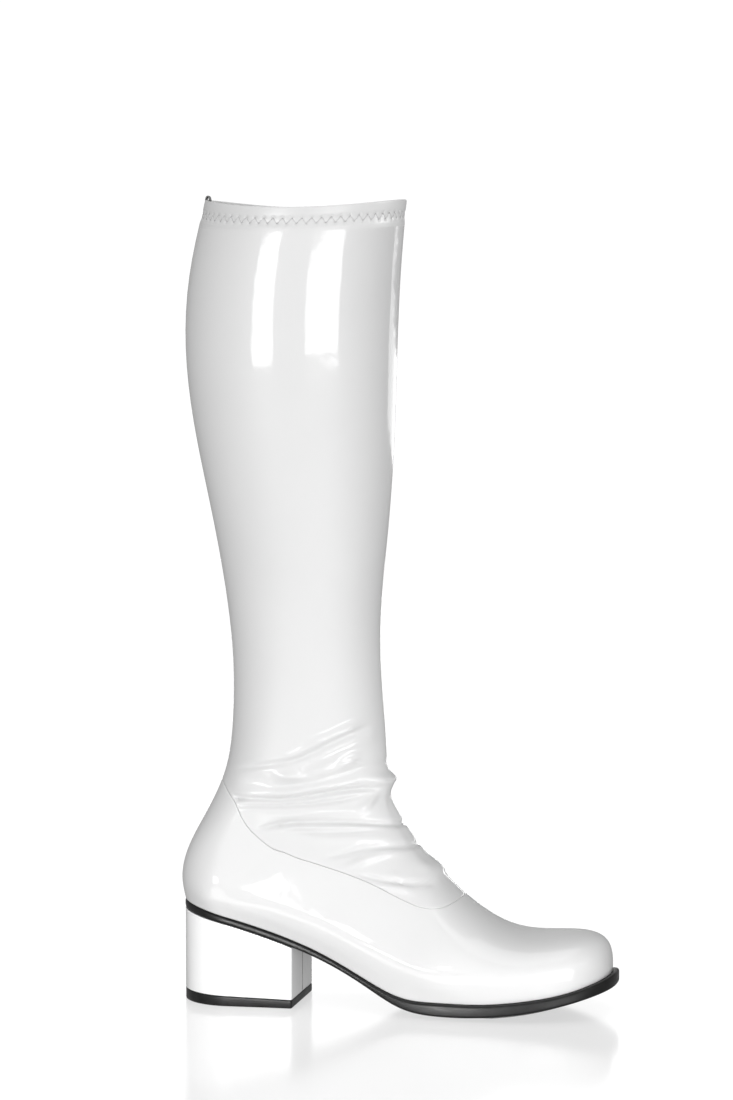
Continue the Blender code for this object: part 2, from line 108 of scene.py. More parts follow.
TAB_SQUARENESS = 0.4  # the tape's section is a superellipse with this power

# Soft swell along the foot's side
SWELL_X = (0, 15, 60, 90, 124, 150, 180)
SWELL_Z = (66, 64, 58, 50, 36, 26, 16)  # crest of the swell in millimetres, by x
SWELL_HEIGHT = 1.6 * MM
SWELL_SPREAD = 12 * MM
SWELL_BACK = 2 * MM  # it starts here and grows and dies out over these lengths
SWELL_GROWTH = 22 * MM
SWELL_DECLINE = 30 * MM
SWELL_FOOT = 10 * MM  # it grows from nothing within this height above the sole

# Folds of the shaft
FOLD_FADE = 3 * MM  # the folds grow from nothing within this distance of the seam
FOLD_TOP_ROW = 14.6  # and end below this section
MEDIAL_START = 9 * MM  # on the medial side they change from here,
MEDIAL_REACH = 20 * MM  # over this width,
MEDIAL_DROP = 9 * MM  # to run this much lower
MEDIAL_CALM = 0.4  # and to be flatter by this share

# Heel and sole
HEEL_EDGE = 0.5 * MM  # rounding of the heel's lower edge
HEEL_CORNER = 1.2 * MM  # rounding of the heel's breast corners
BREAST_GROOVE = 0.7 * MM  # groove where the cover's ends meet in the middle of the breast
BREAST_SPLIT = 0.02 * MM  # half width of the groove's bottom
LIFT_TOP_EDGE = 0.3 * MM

# Fineness of the meshes
UPPER_ROWS = 150
UPPER_COLUMNS = 120
SHAFT_FOLD_ROWS = 130
SHAFT_LEG_ROWS = 32
SHAFT_COLUMNS = 220
COLLAR_SPREAD = 1.3  # how the shaft's grid lines spread from the front of the collar to its back
LINING_STEP = 5  # the inside of a wall keeps every fifth row of the grid
HEM_COLUMNS = 721
HEM_ROWS = 30
HEM_TURNS = 8  # steps round the rolled top edge
HEM_SAMPLES = 2001
STITCH_RINGS = 7
STITCH_SIDES = 6
TAB_SIDES = 12
TAB_LEG_STEPS = 10
TAB_ARCH_POINTS = 13
SOLE_STATIONS = 200
SOLE_TURNS = 6
HEEL_STATIONS = 48
CORNER_TURNS = 7
CORNER_ROOM = 0.1 * MM  # least step from the corner's arc to the side line
MERGE_DISTANCE = 0.002 * MM
WALL_CREASE = math.radians(60)  # edges sharper than this aren't smoothed
SOLE_CREASE = math.radians(50)
HEEL_CREASE = math.radians(40)

SHIFT = np.array([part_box("heel_block")[1].x - HEEL_LENGTH, 0.0, 0.0])

# Sole lines and feather outline in millimetres, from heel to toe, as in the part's source. bottom and height
# follow a program's fit, made beforehand, to the sole's edges in the photo.
SoleRow = namedtuple("SoleRow", "x bottom crown height lateral medial ledge")
SOLE_ROWS = [
    SoleRow(0, 54.9, 0, 4.9, 29.5, 29.5, 0.2),
    SoleRow(30, 48.5, 0, 4.2, 29.8, 29.5, 0.2),
    SoleRow(60, 39.5, 0, 4.3, 29, 27.2, 0.4),
    SoleRow(90, 28.2, 0.4, 3.9, 30, 26, 0.8),
    SoleRow(115, 15.5, 1.4, 4, 33.5, 27.5, 1.4),
    SoleRow(137, 4.8, 2.2, 5.8, 38.5, 33, 2.2),
    SoleRow(158, 1.8, 1.9, 7.4, 42, 39, 2.6),
    SoleRow(187, 2.4, 2.5, 7.1, 43, 43, 2.8),
    SoleRow(210, 5.1, 2.2, 6.8, 41, 42.5, 3.2),
    SoleRow(235, 10.3, 1.6, 6.4, 38.5, 40.5, 3.2),
    SoleRow(258, 16.7, 1, 7.9, 35.5, 38, 3.8),
]

# Sections of the last in millimetres, from toe to collar, as in the part's source
Section = namedtuple("Section", "front_x front_z back_x back_z lateral medial widest ridge")
ON_SOLE = None
SECTIONS = [
    Section(254.2, 51.6, 254.2, ON_SOLE, 37.5, 40, 0.58, 2),
    Section(237, 48, 237, ON_SOLE, 40, 42, 0.58, 3),
    Section(215, 45.8, 215, ON_SOLE, 42.5, 43.5, 0.59, 3.5),
    Section(189, 49.8, 189, ON_SOLE, 45, 45, 0.62, 4),
    Section(163, 68, 160, ON_SOLE, 44, 42, 0.7, 3.5),
    Section(146.5, 86.3, 128, ON_SOLE, 38.5, 36.5, 0.76, 2.5),
    Section(136.4, 99.6, 92, ON_SOLE, 34.5, 33.5, 0.78, 1.5),
    Section(129.6, 110.4, 57, ON_SOLE, 33.3, 33, 0.78, 0.7),
    Section(125.4, 118, 27, ON_SOLE, 32.8, 32.8, 0.78, 0.2),
    Section(123.1, 123.6, 7, ON_SOLE, 32.6, 32.6, 0.775, 0),
    Section(121.9, 128.2, 0, ON_SOLE, 32.5, 32.5, 0.77, 0),
    Section(121.3, 133.2, -1.8, 71, 32.5, 32.5, 0.76, 0),
    Section(120.9, 140, 1.3, 88, 32.5, 32.5, 0.73, 0),
    Section(120.2, 150, 12.5, 110, 32.8, 32.8, 0.68, 0),
    Section(119.2, 165, 24.3, 136, 33.3, 33.3, 0.62, 0),
    Section(117.5, 186, 29, 166, 34, 34, 0.56, 0),
    Section(116.3, 214, 29.3, 202, 35.5, 35.5, 0.52, 0),
    Section(117.8, 247, 25.3, 241, 38.8, 38.8, 0.5, 0),
    Section(121.7, 288, 17.1, 287, 43.5, 43.5, 0.5, 0),
    Section(124.6, 335, 7.3, 335, 48, 48, 0.5, 0),
    Section(126.1, 382, 1.7, 382, 51, 51, 0.5, 0),
    Section(128.1, 428, 4.2, 428, 51.5, 51.5, 0.5, 0),
    Section(131.6, 470, 13.5, 470, 50, 50, 0.5, 0),
]
HEEL_ROW = 10
TOP_ROW = len(SECTIONS) - 1
COLLAR_ROW_HEIGHT = (SECTIONS[-1].front_z - SECTIONS[-2].front_z) * MM

# Seam between upper and shaft, from the ridge of the foot to the heel back, as in the part's source: the
# place round the boot, the section, and how far round the toe the grid line starts that ends there. The
# numbers were worked out beforehand by a program, from the seam's line in the photo.
SeamRow = namedtuple("SeamRow", "around row toe")
SEAM_ROWS = [
    SeamRow(0, 3.852, 0),
    SeamRow(0.0878, 3.881, 0.063),
    SeamRow(0.1795, 3.956, 0.132),
    SeamRow(0.2795, 4.122, 0.208),
    SeamRow(0.3762, 4.463, 0.285),
    SeamRow(0.4359, 4.901, 0.353),
    SeamRow(0.4715, 5.325, 0.405),
    SeamRow(0.4959, 5.733, 0.445),
    SeamRow(0.516, 6.139, 0.479),
    SeamRow(0.5345, 6.547, 0.511),
    SeamRow(0.551, 6.968, 0.543),
    SeamRow(0.5655, 7.414, 0.576),
    SeamRow(0.5775, 7.911, 0.61),
    SeamRow(0.5868, 8.513, 0.645),
    SeamRow(0.5931, 9.66, 0.685),
    SeamRow(0.6242, 10.855, 0.729),
    SeamRow(0.6583, 11.699, 0.776),
    SeamRow(0.6973, 12.441, 0.819),
    SeamRow(0.7432, 13.049, 0.859),
    SeamRow(0.8008, 13.434, 0.897),
    SeamRow(0.8654, 13.683, 0.932),
    SeamRow(0.9323, 13.791, 0.967),
    SeamRow(1, 13.82, 1),
]
SEAM_END = len(SEAM_ROWS) - 1

# Folds of the shaft over the ankle in millimetres, seen from the side. Each runs through its points of x
# and z from the back to the front. height is minus for a trough, width is half of its width, and it grows
# in over the share rise of its length at the back and dies out over the share fall at the front.
Fold = namedtuple("Fold", "height width rise fall points")
FOLDS = [
    Fold(-1.4, 5.0, 0.5, 0.4, [(36, 133), (50, 133.5), (62, 134)]),
    Fold(
        -1.5, 1.9, 0.3, 0.2,
        [(30, 138.6), (57, 143.8), (73, 146.9), (92.5, 156.2), (105.4, 162.1), (118, 167.4)],
    ),
    Fold(
        1.3, 3.0, 0.4, 0.4,
        [(60, 146.8), (73, 150.5), (82, 155.5), (91, 159.5), (104, 165.5), (115, 170.5)],
    ),
    Fold(0.6, 3.6, 0.3, 0.1, [(70, 141), (92, 150), (105, 156.5), (118, 161)]),
    Fold(0.8, 2.6, 0.5, 0.5, [(95, 160.6), (104, 164.8), (112, 168.4)]),
    Fold(1.8, 2.8, 0.5, 0.5, [(57, 138), (69, 137.4), (81, 137)]),
    Fold(1.1, 2.6, 0.5, 0.5, [(94, 142), (103, 145.8), (111, 149)]),
    Fold(-0.6, 2.2, 0.3, 0.0, [(48, 131.5), (75, 132.2), (95, 137.2), (118, 143)]),
    Fold(1.0, 2.6, 0.3, 0.0, [(42, 127.3), (65, 127.3), (86, 130.3), (99, 132.3), (113, 135), (122, 133.4)]),
    Fold(4.1, 5.0, 0.8, 0.0, [(106, 134.5), (116, 133.0), (122, 131.8)]),
    Fold(
        -2.2, 1.5, 0.15, 0.12,
        [(25, 123.2), (49, 123.4), (64.7, 123.2), (87, 126.2), (102, 128.4), (121.5, 129)],
    ),
    Fold(-1.3, 1.3, 0.2, 0.2, [(32, 119), (54, 119.5), (72, 120), (87, 121.3), (99, 122.7), (115, 126.6)]),
    Fold(0.8, 2.8, 0.3, 0.2, [(50, 114.5), (63, 114.2), (87, 115.9), (110, 116.8), (123, 118)]),
    Fold(1.7, 2.8, 0.5, 0.4, [(105, 116.5), (112, 120), (119, 124.5)]),
    Fold(
        -2.1, 1.5, 0.2, 0.0,
        [(47, 104.4), (60, 107.8), (70.5, 109.4), (84, 109.9), (99, 109.9), (130, 107.6)],
    ),
    Fold(0.6, 1.4, 0.3, 0.2, [(54, 105.2), (72, 106.8), (87, 107.1), (105, 107.2), (127, 106)]),
    Fold(-0.8, 1.3, 0.3, 0.3, [(65, 105), (84, 104), (99.6, 104.2), (111.5, 104.8), (124, 105)]),
    Fold(0.8, 2.8, 0.4, 0.2, [(74, 99.6), (95, 100.5), (115, 101), (132, 101)]),
    Fold(-1.5, 1.6, 0.4, 0.0, [(86, 88.6), (103, 92.9), (112, 94.9), (124, 95.8), (137, 95.3)]),
    Fold(1.5, 2.4, 0.4, 0.4, [(96, 82.6), (102, 84.5), (112.6, 88.7), (121.4, 91.4), (129, 92.4), (139, 91)]),
    Fold(0.6, 1.8, 0.5, 0.5, [(124, 80.8), (130, 80.5), (136, 79.8)]),
    Fold(-1.6, 1.5, 0.3, 0.1, [(106, 81.2), (119, 78.4), (128.7, 76.5), (140.6, 75.5), (154, 75)]),
    Fold(1.9, 2.2, 0.5, 0.5, [(119, 75.2), (127, 74), (139, 72), (147, 70.6)]),
    Fold(2.2, 3.0, 1.0, 0.0, [(136, 87), (146, 83.5), (152, 80.5)]),
    Fold(
        -0.6, 1.8, 0.1, 0.15,
        [(120.4, 128), (124.9, 117.2), (129, 109.5), (133.7, 102.4), (140, 94), (153.5, 77.4)],
    ),
]

# Whites of the patent, and how much its gloss blurs what it mirrors
PATENT_WHITE = 0.82
# The heel cover is the same white patent, painted whiter as painted light on the heel
HEEL_LIT_WHITE = 0.92
# The hem is the same patent, painted darker as painted shade on the turned band
HEM_SHADED_WHITE = 0.78
FOOT_BLUR = 0.05
SHAFT_BLUR = 0.075
HEM_BLUR = 0.3
WHITE = (1.0, 1.0, 1.0, 1.0)
NOISE_RANGE = (0.3, 0.7)  # a noise mostly lies between these

# Camera, at the photo's angle. Its azimuth is 0 from the lateral side and 90 degrees from the toe.
CAMERA_AZIMUTH = math.radians(11.6)
TOWARD_CAMERA = np.array([math.sin(CAMERA_AZIMUTH), -math.cos(CAMERA_AZIMUTH), 0.0])
CAMERA_DISTANCE = 2.25
CAMERA_HEIGHT = 0.45
CAMERA_AIM = np.array([0.1086, 0.0, 0.2672])
CAMERA_FOCUS = 3866.7  # focal length in pixels of the photo
PHOTO_HEIGHT = 1100
SENSOR_WIDTH = 36.0

# Floor and studio. The tones of the studio run from the side away from the camera to the camera's side.
FLOOR_RADIUS = 4.0
FLOOR_CORNERS = 96
BACKGROUND_STRENGTH = 1.05
STUDIO_STRENGTH = 1.5
STUDIO_TONES = [(0.0, 0.22), (0.5, 0.2), (0.75, 0.34), (1.0, 0.6)]

# Upright softboxes that face the boot. azimuth is 0 towards the lateral side and 90 towards the toe, low and
# high are the heights of the lower and upper edge. A light that names pieces shows on those alone, as if a
# card hid it from the rest. Lights below the floor stand for what a white table throws back.
ALL = ()
BOOT = ("upper", "shaft", "hem", "outsole", "heel_block", "top_lift")
NOT_UPPER = BOOT[1:]
SOLE = ("outsole", "top_lift")
Softbox = namedtuple("Softbox", "name azimuth distance low high width brightness shows_on")
SOFTBOXES = [
    Softbox("softbox_left", -22, 3.0, 0.02, 0.79, 1.0, 6.0, NOT_UPPER),
    Softbox("softbox_right", 33, 3.0, 0.07, 0.40, 1.8, 6.0, ALL),
    Softbox("counter_light", -13, 3.0, 0.28, 0.65, 0.32, 6.0, ("upper",)),
    Softbox("foot_light", -25, 3.0, 0.0, 0.2, 0.65, 6.0, ("upper",)),
    Softbox("foot_fill", -22, 3.0, 0.02, 0.79, 1.0, 6.0, ("upper",)),
    Softbox("rim_light", 156, 2.5, 0.12, 0.28, 2.0, 2.0, ("shaft",)),
    Softbox("table_glow", -8, 0.6, -0.16, -0.05, 0.5, 1.9, ALL),
    Softbox("breast_glow", 75, 0.6, 0.0, 0.12, 0.3, 3.2, ("heel_block",)),
    Softbox("heel_glow", -12, 0.6, -0.1, 0.09, 0.16, 11.0, ("heel_block",)),
    Softbox("sole_glow", -12, 0.6, -0.1, 0.09, 0.16, 24.0, SOLE),
    Softbox("toe_glow", 45, 0.6, -0.14, -0.04, 0.35, 5.5, ALL),
    Softbox("rear_fill", 191.6, 3.0, 0.0, 1.0, 2.0, 6.0, BOOT),
    Softbox("rear_softbox", 191.6, 3.0, -0.9, 0.6, 0.5, 6.0, BOOT),
    Softbox("collar_glow", 100, 1.5, 0.5, 0.9, 0.6, 5.0, ("hem",)),
]
BACKDROPS = {"backdrop_far": 191.6, "backdrop_near": 11.6, "backdrop_toe": 101.6, "backdrop_heel": 281.6}
for name, azimuth in BACKDROPS.items():
    SOFTBOXES.append(Softbox(name, azimuth, 4.2, -0.1, 8.0, 8.6, 1.25, ("floor",)))
FILLS = {"foot_fill", "rear_fill"}  # these leave no highlights
MIRRORED = set(BACKDROPS)  # these only show in the floor's polish
LIGHT_CENTRE = np.array([0.08, 0.0, 0.0]) + SHIFT
OVERHEAD_SIZE = 1.4
OVERHEAD_HEIGHT = 1.7
OVERHEAD_BRIGHTNESS = 1.2


# Surfaces, as in the part's source


def spline(knots, values):
    """Natural cubic spline through a table's column, as a function."""
    knots = np.asarray(knots, float)
    values = np.asarray(values, float)
    steps = np.diff(knots)
    slopes = np.diff(values) / steps
    matrix = np.eye(len(knots))
    right = np.zeros(len(knots))
    for i in range(1, len(knots) - 1):
        matrix[i, i - 1] = steps[i - 1]
        matrix[i, i] = 2 * (steps[i - 1] + steps[i])
        matrix[i, i + 1] = steps[i]
        right[i] = 6 * (slopes[i] - slopes[i - 1])
    bends = np.linalg.solve(matrix, right)

    def at(where):
        where = np.asarray(where, float)
        i = np.clip(np.searchsorted(knots, where, side="right") - 1, 0, len(steps) - 1)
        step = steps[i]
        near = where - knots[i]
        far = knots[i + 1] - where
        curve = (bends[i] * far**3 + bends[i + 1] * near**3) / (6 * step)
        start = (values[i] / step - bends[i] * step / 6) * far
        end = (values[i + 1] / step - bends[i + 1] * step / 6) * near
        return curve + start + end

    return at


def clamp(share):
    return np.clip(share, 0.0, 1.0)


def smooth(share):
    """An even rise from 0 to 1."""
    share = clamp(share)
    return share * share * (3 - 2 * share)


def sole_column(name):
    return spline([row.x * MM for row in SOLE_ROWS], [getattr(row, name) * MM for row in SOLE_ROWS])


sole_edge_line = sole_column("bottom")
sole_crown = sole_column("crown")
sole_height = sole_column("height")
sole_lateral = sole_column("lateral")
sole_medial = sole_column("medial")
sole_ledge = sole_column("ledge")


def sole_edge(x):
    """Height of the outsole's lower edge."""
    return sole_edge_line(np.maximum(x, 0.0))


def sole_tread(x):
    """Height of the tread, which is flat on the floor under the ball."""
    x = np.maximum(x, 0.0)
    return np.maximum(sole_edge_line(x) - sole_crown(x), 0.0)


def sole_top(x):
    x = np.maximum(x, 0.0)
    return sole_edge_line(x) + sole_height(x)


def toe_close(x, start, power):
    """Falls from 1 at start to 0 at the toe tip."""
    share = clamp((x - start) / (UPPER_LENGTH - start))
    return (1.0 - share**power) ** (1.0 / power)


def heel_close(x):
    """Rises from 0 at the heel back to 1 where the heel's round back ends."""
    share = clamp(1.0 - x / HEEL_RADIUS)
    return np.sqrt(1.0 - share**2)


def feather(x):
    """Half widths of the line where the upper meets the sole."""
    close = toe_close(x, TOE_PLAN_START, TOE_PLAN_POWER) * heel_close(x)
    return sole_lateral(x) * close, sole_medial(x) * close


def section_column(name, first=0, last=TOP_ROW):
    rows = SECTIONS[first : last + 1]
    return spline(range(first, last + 1), [getattr(row, name) for row in rows])


front_x = section_column("front_x")
front_z = section_column("front_z")
lateral_width = section_column("lateral")
medial_width = section_column("medial")
widest_share = section_column("widest")
ridge_lean = section_column("ridge")
sole_back_x = section_column("back_x", 0, HEEL_ROW)
BACK_Z = [sole_top(row.back_x * MM) / MM if row.back_z is ON_SOLE else row.back_z for row in SECTIONS]
calf_back_z = spline(range(HEEL_ROW, TOP_ROW + 1), BACK_Z[HEEL_ROW:])
heel_line = spline(BACK_Z[HEEL_ROW:], [row.back_x for row in SECTIONS[HEEL_ROW:]])
rail_x = section_column("back_x")
rail_z = spline(range(TOP_ROW + 1), BACK_Z)
seam_around = spline(range(SEAM_END + 1), [row.around for row in SEAM_ROWS])
seam_row = spline(range(SEAM_END + 1), [row.row for row in SEAM_ROWS])
toe_around = spline(range(SEAM_END + 1), [row.toe for row in SEAM_ROWS])


def heel_half_width(x, z, side, width):
    """Half width of the heel counter, round in plan at its back."""
    outline = np.where(side < 0, sole_lateral(x), sole_medial(x))
    rise = clamp((z - sole_top(x)) / COUNTER_RISE)
    full = outline + (width - outline) * rise * (2 - rise)
    reach = (x - heel_line((z - GAP) / MM) * MM) / HEEL_RADIUS
    return reach, full * np.sqrt(1 - clamp(1 - reach) ** 2)


def last_surface(row, around):
    """Points of the boot's outer surface.

    row runs along the table of sections, from 0 at the toe tip to TOP_ROW at the collar. around runs from
    -1 (lateral feather or back) through 0 (ridge) to 1 (medial feather or back).
    """
    row, around = np.broadcast_arrays(np.asarray(row, float), np.asarray(around, float))
    side = np.where(around < 0, -1.0, 1.0)
    column = np.abs(around)
    on_sole = row <= HEEL_ROW
    sole_row = np.minimum(row, HEEL_ROW)
    calf_row = np.maximum(row, HEEL_ROW)

    calf_z = calf_back_z(calf_row)
    back_x = np.where(on_sole, np.maximum(sole_back_x(sole_row), 0.0), heel_line(calf_z)) * MM
    seat_x = np.clip(back_x, 0.0, UPPER_LENGTH)
    back_z = np.where(on_sole, sole_top(seat_x), calf_z * MM) + GAP
    close_plan = toe_close(seat_x, TOE_PLAN_START, TOE_PLAN_POWER)
    close_top = toe_close(seat_x, TOE_TOP_START, TOE_TOP_POWER)
    ridge_x = front_x(row) * MM
    ridge_z = back_z + (front_z(row) * MM + GAP - back_z) * close_top
    ridge_y = ridge_lean(row) * MM * close_plan

    feather_lateral, feather_medial = feather(seat_x)
    feather_width = np.where(side < 0, feather_lateral, feather_medial)
    feather_width = np.where(on_sole, feather_width, 0.0)
    width = np.where(side < 0, lateral_width(row), medial_width(row)) * MM * close_plan
    width = np.maximum(width, feather_width)

    # In front of the widest place the section is a quarter ellipse, behind it an ellipse cut at the sole
    widest = widest_share(row)
    cut = np.maximum(np.arccos(clamp(feather_width / np.maximum(width, 1e-9))), 1e-4)
    turn = clamp(column / widest) * math.pi / 2
    cut_turn = clamp((column - widest) / (1 - widest)) * cut
    in_front = column <= widest
    past = widest + (1 - widest) * np.sin(cut_turn) / np.sin(cut)
    share = np.where(in_front, widest * (1 - np.cos(turn)), past)
    out = np.where(in_front, np.sin(turn), np.cos(cut_turn))

    # Above the heel the front of each section points at a rail that has no corner at the heel seat
    ease = smooth((row - RAIL_ROW) / RAIL_ROWS) * (1 - smooth((column - widest) / (1 - widest)))
    aim_x = back_x + (rail_x(row) * MM - back_x) * ease
    aim_z = back_z + (rail_z(row) * MM + GAP - back_z) * ease
    x = ridge_x + (aim_x - ridge_x) * share
    z = ridge_z + (aim_z - ridge_z) * share
    lean = np.where(in_front, ridge_y * (1 - np.sin(turn)), 0.0)
    y = lean + side * width * out

    # The sections crowd together at the heel seat, so the counter is rounded in plan there instead
    reach, heel_half = heel_half_width(x, z, side, width)
    near_heel = (1 - smooth((reach - ROUND_REACH) / ROUND_FADE)) * smooth(row - ROUND_FIRST_ROW)
    near_heel = near_heel * (1 - smooth((row - ROUND_LAST_ROW) / ROUND_LAST_ROWS))
    y = y + (side * heel_half - y) * near_heel
    near_top = clamp((row - (TOP_ROW - COLLAR_DIP_ROWS)) / COLLAR_DIP_ROWS)
    dip = COLLAR_DIP * near_top**2
    z = z - dip * np.sin(np.minimum(column, 1.0) * math.pi) ** 2
    return np.stack([x, y, z], axis=-1)


def surface_normal(row, around):
    """Outward unit normal of the outer surface, by small differences."""
    step_row = 0.02
    step_around = 0.004
    low_row = np.clip(row - step_row, 0.02, TOP_ROW)
    high_row = np.clip(row + step_row, 0.02, TOP_ROW)
    along = last_surface(high_row, around) - last_surface(low_row, around)
    low_around = np.clip(around - step_around, -1.0, 1.0)
    high_around = np.clip(around + step_around, -1.0, 1.0)
    across = last_surface(row, high_around) - last_surface(row, low_around)
    normal = np.cross(across, along)
    return normal / np.maximum(np.linalg.norm(normal, axis=-1, keepdims=True), 1e-12)


def seam_columns(columns):
    """Places along the seam, from the lateral heel back round the front to the medial heel back."""
    along = np.linspace(-SEAM_END, SEAM_END, 2 * columns + 1)
    return np.sign(along), np.abs(along)


def seam_roll(distance):
    """The rounded edge of a panel that is turned in at the seam."""
    return -SEAM_DEPTH * (1 - clamp(distance / SEAM_ROLL)) ** 2


# Fine surfaces


def upper_grid():
    """Outer surface of the foot part, from the toe tip to the seam."""
    side, along_seam = seam_columns(UPPER_COLUMNS)
    seam = seam_row(along_seam)
    toe = toe_around(along_seam)
    heel = HEEL_ROW / seam[0]
    counter = UPPER_ROWS // 4
    step = np.linspace(0.0, 1.0, UPPER_ROWS - counter, endpoint=False)
    foot_rows = heel * step**3 / (step**2 + TOE_CROWDING * (1 - step**2))
    counter_rows = np.linspace(heel, 1.0, counter, endpoint=False)
    share = np.concatenate([foot_rows, counter_rows])[:, None]

    def place(share):
        around = side * (toe + (seam_around(along_seam) - toe) * share)
        return seam * share, np.clip(around, -1.0, 1.0)

    short = 0.005
    last_step = last_surface(*place(1.0)) - last_surface(*place(1.0 - short))
    speed = np.linalg.norm(last_step, axis=-1) / short
    edge = 1 - np.array(SEAM_STEPS)[:, None] * MM / speed
    share = np.concatenate([share * edge[:1], edge])
    row, around = place(share)
    points = last_surface(row, around)
    lift = seam_roll((1 - share) * speed) + foot_swell(points)
    return points + surface_normal(row, around) * lift[..., None]


def shaft_edge(side, along_seam):
    """Section and place round the boot of the shaft's lower edge, a clearance away across the seam."""
    side = np.where(side < 0, -1.0, 1.0)
    step = 0.01
    row = seam_row(along_seam)
    around = side * clamp(seam_around(along_seam))

    def at(shift):
        place = np.clip(along_seam + shift, 0.0, SEAM_END)
        return last_surface(seam_row(place), side * seam_around(place))

    inward = np.where(np.abs(around) < 0.5, step, -step) * side
    by_row = (last_surface(row + step, around) - last_surface(row, around)) / step
    by_around = (last_surface(row, around + inward) - last_surface(row, around)) / inward[:, None]
    across = np.cross(surface_normal(row, around), at(step) - at(-step)) * side[:, None]
    across *= SEAM_GAP / np.linalg.norm(across, axis=-1, keepdims=True)
    moves = []
    for row_step, around_step, aim in zip(by_row, by_around, across):
        steps = np.column_stack([row_step, around_step])
        moves.append(np.linalg.lstsq(steps, aim, rcond=None)[0])
    moves = np.array(moves)
    moved = np.where(np.abs(around) % 1.0 == 0.0, around, around + moves[:, 1])
    return row + moves[:, 0], moved


def fold_height(points):
    """How far the folds lift each point of the shaft off the last."""
    medial = smooth((points[..., 1] - MEDIAL_START) / MEDIAL_REACH)
    x = points[..., 0] / MM
    z = (points[..., 2] + MEDIAL_DROP * medial) / MM
    short = 0.1
    lift = np.zeros(x.shape)
    for fold in FOLDS:
        knots = [point[0] for point in fold.points]
        line = spline(knots, [point[1] for point in fold.points])
        along = clamp((x - knots[0]) / (knots[-1] - knots[0]))
        near = np.clip(x, knots[0], knots[-1])
        slope = (line(near + short) - line(near - short)) / (2 * short)
        away = (z - line(near)) / np.sqrt(1 + slope**2)
        size = fold.height * smooth(along / fold.rise)
        if fold.fall > 0:
            size = size * smooth((1 - along) / fold.fall)
        lift += size * np.exp(-((away / fold.width) ** 2))
    return lift * (1 - MEDIAL_CALM * medial) * MM


def foot_swell(points):
    """A soft swell along the foot's side, where the leather fills out over the last's edge."""
    x = points[..., 0]
    z = points[..., 2]
    crest = np.interp(x / MM, SWELL_X, SWELL_Z) * MM
    ends = smooth((x - SWELL_BACK) / SWELL_GROWTH) * smooth((SWELL_X[-1] * MM - x) / SWELL_DECLINE)
    above_sole = smooth((z - sole_top(x)) / SWELL_FOOT)
    return SWELL_HEIGHT * ends * above_sole * np.exp(-(((z - crest) / SWELL_SPREAD) ** 2))


def hem_lift(depth):
    """The hem is drawn in along its row of stitches."""
    middle = (STITCH_TOP + STITCH_LOW) / 2
    fade = smooth((HEM_BAND - depth) / HEM_FADE)
    return -HEM_DRAW * fade * np.exp(-(((depth - middle) / HEM_DRAW_SPREAD) ** 2))


def shaft_grid():
    """Outer and inner surface of the shaft from the seam to the hem, with its folds.

    The inner surface follows the lowest of the folds nearby, so it is smoother and stays inside.
    """
    side, along_seam = seam_columns(SHAFT_COLUMNS)
    start, at_seam = shaft_edge(side, along_seam)
    at_collar = side * (along_seam / SEAM_END) ** COLLAR_SPREAD
    ease = 0.01
    rise = FOLD_TOP_ROW - start
    ahead = at_seam + (at_collar - at_seam) * ease
    speed = np.linalg.norm(last_surface(start + rise * ease, ahead) - last_surface(start, at_seam), axis=-1)
    speed = speed / ease
    edge = np.array(SEAM_STEPS[::-1])[:, None] * MM / speed
    even = np.linspace(0.0, 1.0, SHAFT_FOLD_ROWS, endpoint=False)[1:, None]
    low = edge[-1:] + (1 - edge[-1:]) * even
    level = np.zeros_like(start)[None, :]
    leg_top = TOP_ROW - HEM_BAND / COLLAR_ROW_HEIGHT
    leg = np.linspace(FOLD_TOP_ROW, leg_top, SHAFT_LEG_ROWS)[:, None]
    share_rows = start + rise * np.concatenate([edge, low])
    row = np.concatenate([share_rows, leg + level])
    share = clamp((row - start) / rise)
    around = at_seam + (at_collar - at_seam) * share
    points = last_surface(row, around)
    distance = share * speed
    lift = fold_height(points) * smooth(distance / FOLD_FADE) + seam_roll(distance)
    normal = surface_normal(row, around)
    padded = np.pad(lift, ((LINING_STEP, LINING_STEP), (0, 0)), mode="edge")
    lowest = np.min([padded[i : i + len(lift)] for i in range(2 * LINING_STEP + 1)], axis=0)
    outer = points + normal * lift[..., None]
    inner = points + normal * (lowest - SHAFT_WALL)[..., None]
    return outer, inner


def unit(vectors):
    return vectors / np.linalg.norm(vectors, axis=-1, keepdims=True)


def moved_out(stations, half, out, from_toe):
    """One side's outline, from its front to the heel back, moved out by the given amounts."""
    line = np.stack([stations, half], axis=-1)
    travel = np.gradient(line, axis=0)
    normal = unit(np.stack([travel[:, 1], -travel[:, 0]], axis=-1))
    if from_toe:
        normal[0] = (1.0, 0.0)
    normal[-1] = (-1.0, 0.0)
    return line + normal * out[:, None]


def side_lines(stations, out):
    """Lateral and medial lines of the whole outline, moved out by the given amounts."""
    lateral, medial = [moved_out(stations, half, out, from_toe=True) for half in feather(stations)]
    return lateral * (1.0, -1.0), medial


def lift_top(x):
    """Height of the top lift, which is thicker at the back."""
    return LIFT_BACK + (LIFT_FRONT - LIFT_BACK) * clamp(x / HEEL_LENGTH)


